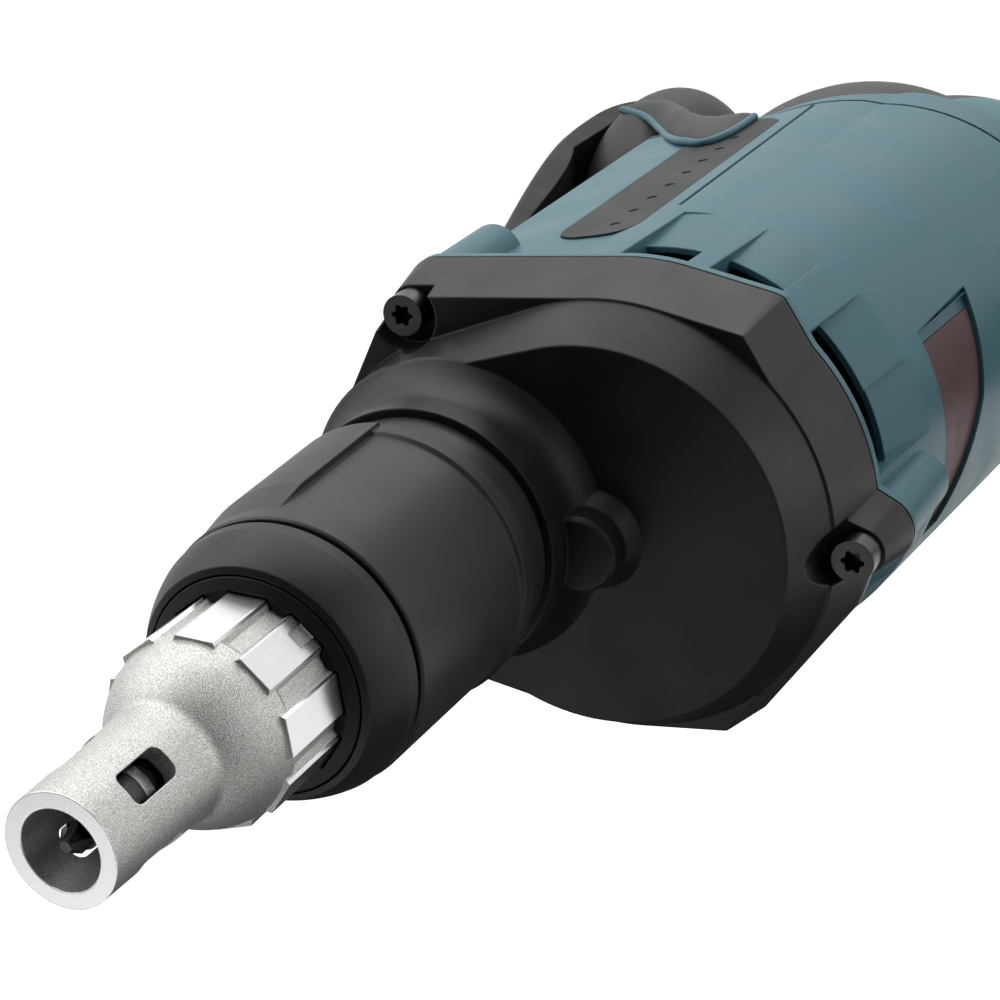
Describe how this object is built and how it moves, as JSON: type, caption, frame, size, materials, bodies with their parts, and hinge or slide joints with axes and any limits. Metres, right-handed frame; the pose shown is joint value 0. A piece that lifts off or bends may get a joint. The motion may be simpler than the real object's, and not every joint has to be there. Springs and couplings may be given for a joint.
{
  "type": "drywall screwdriver",
  "caption": "Corded drywall screwdriver with a pull-off depth-stop nose, depth-adjusting ring, push clutch, geared motor, pistol grip, trigger and belt hook.",
  "frame": {"origin": "on the spindle axis at the front shoulder of the gear case collar", "axes": "+X back along the spindle, +Y to the tool's top, +Z to the tool's left side"},
  "size_m": [0.2944, 0.2116, 0.0746],
  "materials": {
    "bead_blasted_steel": "satin, blasted, with polished ribs and front",
    "black_plastic": "satin moulded",
    "black_cast": "fine matt texture",
    "teal_plastic": "fine satin texture",
    "soft_black": "soft matt",
    "strip_grey": "soft matt with dimples",
    "label": "printed film, left bare",
    "dark_screw": "black oxide",
    "steel": "machined",
    "spring_steel": "drawn wire",
    "bronze": "sintered",
    "copper": "lacquered wire",
    "laminated_iron": "stacked sheets",
    "carbon": "pressed carbon",
    "grey_plastic": "moulded",
    "gasket": "pressed fibre"
  },
  "bodies": {
    "tool_body": {"neck_sleeve": "black_plastic", "belt_hook": "black_plastic", "gear_case": "black_cast", "motor_housing": "teal_plastic", "left_handle_shell": "teal_plastic", "right_handle_shell": "teal_plastic", "left_soft_grip": "soft_black", "right_soft_grip": "soft_black", "cable_inlet_grommet": "soft_black", "left_side_strip": "strip_grey", "right_side_strip": "strip_grey", "rating_label": "label", "gear_case_screws": "dark_screw", "belt_hook_screws": "dark_screw", "handle_screws": "dark_screw", "bearing_plate_screws": "steel", "gear_thrust_washer": "steel", "front_ball_bearing": "steel", "rear_ball_bearing": "steel", "adjust_ring_clip": "spring_steel", "brush_springs": "spring_steel", "trigger_spring": "spring_steel", "lock_button_spring": "spring_steel", "spindle_bush": "bronze", "spindle_rear_bush": "bronze", "pinion_bush": "bronze", "brush_holders": "bronze", "field_coils": "copper", "stator_core": "laminated_iron", "bearing_plate": "laminated_iron", "carbon_brushes": "carbon", "brush_carrier": "grey_plastic", "switch_module": "grey_plastic", "suppression_capacitor": "grey_plastic", "gear_case_gasket": "gasket"},
    "adjust_ring": {"depth_adjust_ring": "black_plastic"},
    "carrier": {"depth_stop_carrier": "black_plastic", "nose_snap_ring": "spring_steel"},
    "nose": {"depth_stop_nose": "bead_blasted_steel"},
    "clutch_push": {"clutch_spring": "spring_steel"},
    "spindle": {"spindle": "steel", "socket_clip": "spring_steel", "screwdriver_bit": "steel", "bit_magnet": "steel", "bit_holder": "dark_screw", "holder_retaining_ring": "steel"},
    "gear": {"gear_wheel": "steel"},
    "armature": {"armature_shaft": "steel", "armature_core": "laminated_iron", "armature_windings": "copper", "commutator": "copper", "cooling_fan": "grey_plastic"},
    "trigger": {"trigger": "black_plastic"},
    "lock_button": {"lock_button": "grey_plastic"},
    "reversing_slider": {"reversing_slider": "grey_plastic"}
  },
  "joints": [
    {"name": "ring_turn", "type": "hinge", "parent": "tool_body", "child": "adjust_ring", "pos_m": [0, 0, 0], "axis": [1, 0, 0], "range_deg": [-180, 180]},
    {"name": "carrier_slide", "type": "slide", "parent": "tool_body", "child": "carrier", "axis": [1, 0, 0], "range_m": [-0.003, 0.003]},
    {"name": "nose_pull", "type": "slide", "parent": "carrier", "child": "nose", "axis": [-1, 0, 0], "range_m": [0, 0.03]},
    {"name": "clutch_slide", "type": "slide", "parent": "tool_body", "child": "clutch_push", "axis": [1, 0, 0], "range_m": [0, 0.002], "stiffness_N_per_m": 4000, "springref_m": -0.002},
    {"name": "spindle_spin", "type": "hinge", "parent": "clutch_push", "child": "spindle", "pos_m": [0, 0, 0], "axis": [1, 0, 0], "continuous": true},
    {"name": "gear_spin", "type": "hinge", "parent": "tool_body", "child": "gear", "pos_m": [0, 0, 0], "axis": [1, 0, 0], "continuous": true},
    {"name": "armature_spin", "type": "hinge", "parent": "tool_body", "child": "armature", "pos_m": [0, -0.0225, 0], "axis": [1, 0, 0], "continuous": true},
    {"name": "trigger_pull", "type": "slide", "parent": "tool_body", "child": "trigger", "axis": [1, 0, 0], "range_m": [0, 0.007], "stiffness_N_per_m": 900, "springref_m": -0.003},
    {"name": "lock_press", "type": "slide", "parent": "tool_body", "child": "lock_button", "axis": [0, 0, -1], "range_m": [0, 0.0025], "stiffness_N_per_m": 1200, "springref_m": -0.002},
    {"name": "direction_slide", "type": "slide", "parent": "tool_body", "child": "reversing_slider", "axis": [0, 0, 1], "range_m": [-0.003, 0.003]}
  ],
  "couplings": [
    {"joint": "carrier_slide", "follows": "ring_turn", "m_per_rad": 0.00095493},
    {"joint": "gear_spin", "follows": "armature_spin", "ratio": -0.25}
  ]
}
